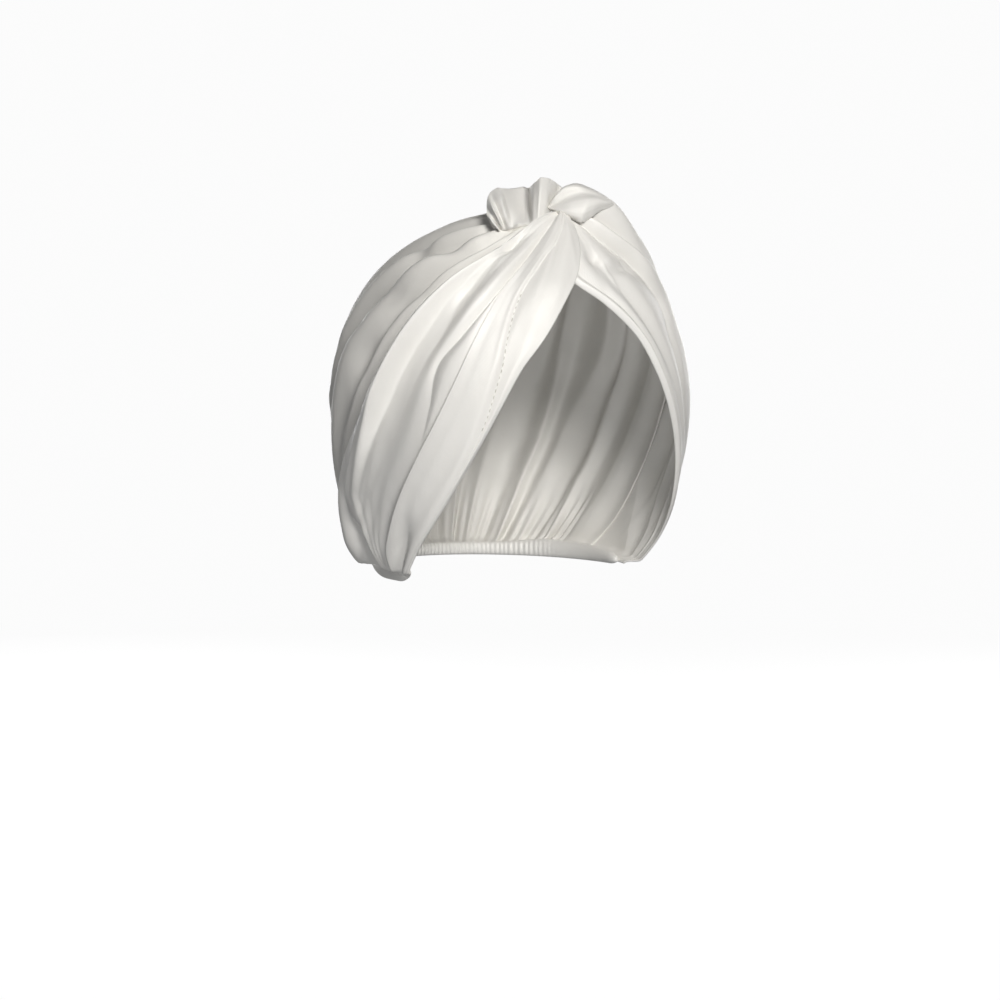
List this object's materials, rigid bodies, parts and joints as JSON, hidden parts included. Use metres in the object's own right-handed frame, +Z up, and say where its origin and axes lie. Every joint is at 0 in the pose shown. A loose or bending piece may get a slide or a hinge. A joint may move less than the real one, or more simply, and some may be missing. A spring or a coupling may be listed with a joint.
{
  "type": "satin hair bonnet",
  "caption": "Pre-tied satin turban bonnet with a twist knot above the brow, pleated wraps that cross in front, a gathered bag behind and an elastic nape.",
  "frame": {"origin": "middle of the hollow that the head fills, level with the upper ear", "axes": "+Z up, -Y towards the face, +X towards the wearer's left"},
  "size_m": [0.1748, 0.2047, 0.1987],
  "materials": {
    "satin_bag": "ivory satin, soft sheen",
    "satin_wrap": "ivory satin, soft sheen",
    "satin_knot": "ivory satin, soft sheen",
    "satin_casing": "ivory satin gathered on elastic"
  },
  "bodies": {
    "root": {"crown": "satin_bag", "right_wrap": "satin_wrap", "left_wrap": "satin_wrap", "knot_right_loop": "satin_knot", "knot_left_loop": "satin_knot", "nape_band": "satin_casing"}
  },
  "joints": []
}
